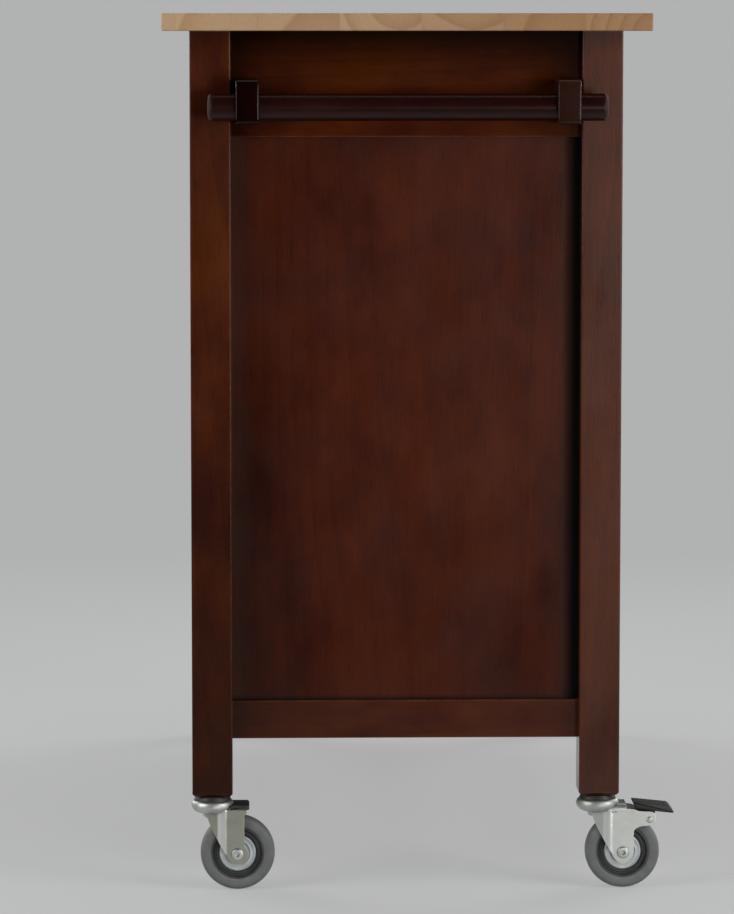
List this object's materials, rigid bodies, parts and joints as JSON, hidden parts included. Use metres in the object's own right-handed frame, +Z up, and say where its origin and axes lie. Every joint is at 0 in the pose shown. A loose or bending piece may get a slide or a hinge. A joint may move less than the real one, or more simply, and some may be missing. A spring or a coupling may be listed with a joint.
{
  "type": "kitchen cart",
  "caption": "Rolling kitchen cart with a light wood worktop on a dark stained frame-and-panel cabinet, drawers over doors, a towel bar at one end and swivel casters.",
  "frame": {"origin": "on the floor, under the middle of the whole outline, towel bar and brake levers included", "axes": "+Z up, X along the worktop with the towel bar at the -X end, doors and drawers towards -Y"},
  "size_m": [1.102, 0.5304, 0.9144],
  "materials": {
    "worktop_wood": "oiled light hardwood staves",
    "stained_wood": "dark red-brown stain under satin lacquer",
    "stained_panel": "dark red-brown stain under satin lacquer, vertical grain",
    "inner_wood": "thin stain, matt",
    "bar_wood": "very dark stain under gloss lacquer",
    "plated_steel": "bright zinc plate",
    "grey_rubber": "matt grey rubber",
    "dark_plastic": "moulded black",
    "pedal_plastic": "black, slightly glossy"
  },
  "bodies": {
    "cart": {"worktop": "worktop_wood", "leg_front_left": "stained_wood", "leg_front_right": "stained_wood", "leg_back_left": "stained_wood", "leg_back_right": "stained_wood", "end_upper_rail_left": "stained_wood", "end_lower_rail_left": "stained_wood", "end_upper_rail_right": "stained_wood", "end_lower_rail_right": "stained_wood", "back_upper_rail": "stained_wood", "back_lower_rail": "stained_wood", "front_top_rail": "stained_wood", "front_middle_rails": "stained_wood", "front_bottom_rail": "stained_wood", "centre_stile": "stained_wood", "end_panel_left": "stained_panel", "end_panel_right": "stained_panel", "back_panel": "stained_panel", "cabinet_floor": "inner_wood", "shelf": "inner_wood", "drawer_runners": "inner_wood", "towel_bar": "bar_wood", "towel_bar_blocks": "bar_wood", "shelf_pins": "plated_steel", "frame_fixings": "plated_steel", "caster_stems": "plated_steel", "hinge_frame_leaves": "plated_steel", "door_catches": "dark_plastic"},
    "drawer_left": {"drawer_left_front": "stained_wood", "drawer_left_box": "inner_wood", "drawer_left_knob": "bar_wood"},
    "door_left": {"door_left_frame": "stained_wood", "door_left_panel": "stained_panel", "door_left_knob": "bar_wood", "door_left_fittings": "plated_steel"},
    "drawer_right": {"drawer_right_front": "stained_wood", "drawer_right_box": "inner_wood", "drawer_right_knob": "bar_wood"},
    "door_right": {"door_right_frame": "stained_wood", "door_right_panel": "stained_panel", "door_right_knob": "bar_wood", "door_right_fittings": "plated_steel"},
    "fork_front_left": {"caster_front_left_fork": "plated_steel", "caster_front_left_axle": "plated_steel"},
    "wheel_front_left": {"caster_front_left_tyre": "grey_rubber", "caster_front_left_core": "dark_plastic"},
    "lever_front_left": {"caster_front_left_brake_lever": "pedal_plastic"},
    "fork_front_right": {"caster_front_right_fork": "plated_steel", "caster_front_right_axle": "plated_steel"},
    "wheel_front_right": {"caster_front_right_tyre": "grey_rubber", "caster_front_right_core": "dark_plastic"},
    "lever_front_right": {"caster_front_right_brake_lever": "pedal_plastic"},
    "fork_back_left": {"caster_back_left_fork": "plated_steel", "caster_back_left_axle": "plated_steel"},
    "wheel_back_left": {"caster_back_left_tyre": "grey_rubber", "caster_back_left_core": "dark_plastic"},
    "fork_back_right": {"caster_back_right_fork": "plated_steel", "caster_back_right_axle": "plated_steel"},
    "wheel_back_right": {"caster_back_right_tyre": "grey_rubber", "caster_back_right_core": "dark_plastic"}
  },
  "joints": [
    {"name": "drawer_left_slide", "type": "slide", "parent": "cart", "child": "drawer_left", "axis": [0, -1, 0], "range_m": [0, 0.3]},
    {"name": "drawer_right_slide", "type": "slide", "parent": "cart", "child": "drawer_right", "axis": [0, -1, 0], "range_m": [0, 0.3]},
    {"name": "door_left_hinge", "type": "hinge", "parent": "cart", "child": "door_left", "pos_m": [-0.4427, -0.20095, 0.4709], "axis": [0, 0, -1], "range_deg": [0, 105]},
    {"name": "door_right_hinge", "type": "hinge", "parent": "cart", "child": "door_right", "pos_m": [0.4777, -0.20095, 0.4709], "axis": [0, 0, 1], "range_deg": [0, 105]},
    {"name": "swivel_front_left", "type": "hinge", "parent": "cart", "child": "fork_front_left", "pos_m": [-0.467, -0.18775, 0.09], "axis": [0, 0, 1], "continuous": true},
    {"name": "roll_front_left", "type": "hinge", "parent": "fork_front_left", "child": "wheel_front_left", "pos_m": [-0.467, -0.21375, 0.039], "axis": [1, 0, 0], "continuous": true},
    {"name": "brake_front_left", "type": "hinge", "parent": "fork_front_left", "child": "lever_front_left", "pos_m": [-0.467, -0.24155, 0.0735], "axis": [-1, 0, 0], "range_deg": [0, 15]},
    {"name": "swivel_front_right", "type": "hinge", "parent": "cart", "child": "fork_front_right", "pos_m": [0.502, -0.18775, 0.09], "axis": [0, 0, 1], "continuous": true},
    {"name": "roll_front_right", "type": "hinge", "parent": "fork_front_right", "child": "wheel_front_right", "pos_m": [0.502, -0.21375, 0.039], "axis": [1, 0, 0], "continuous": true},
    {"name": "brake_front_right", "type": "hinge", "parent": "fork_front_right", "child": "lever_front_right", "pos_m": [0.502, -0.24155, 0.0735], "axis": [-1, 0, 0], "range_deg": [0, 15]},
    {"name": "swivel_back_left", "type": "hinge", "parent": "cart", "child": "fork_back_left", "pos_m": [-0.467, 0.21625, 0.09], "axis": [0, 0, 1], "continuous": true},
    {"name": "roll_back_left", "type": "hinge", "parent": "fork_back_left", "child": "wheel_back_left", "pos_m": [-0.467, 0.19025, 0.039], "axis": [1, 0, 0], "continuous": true},
    {"name": "swivel_back_right", "type": "hinge", "parent": "cart", "child": "fork_back_right", "pos_m": [0.502, 0.21625, 0.09], "axis": [0, 0, 1], "continuous": true},
    {"name": "roll_back_right", "type": "hinge", "parent": "fork_back_right", "child": "wheel_back_right", "pos_m": [0.502, 0.19025, 0.039], "axis": [1, 0, 0], "continuous": true}
  ]
}
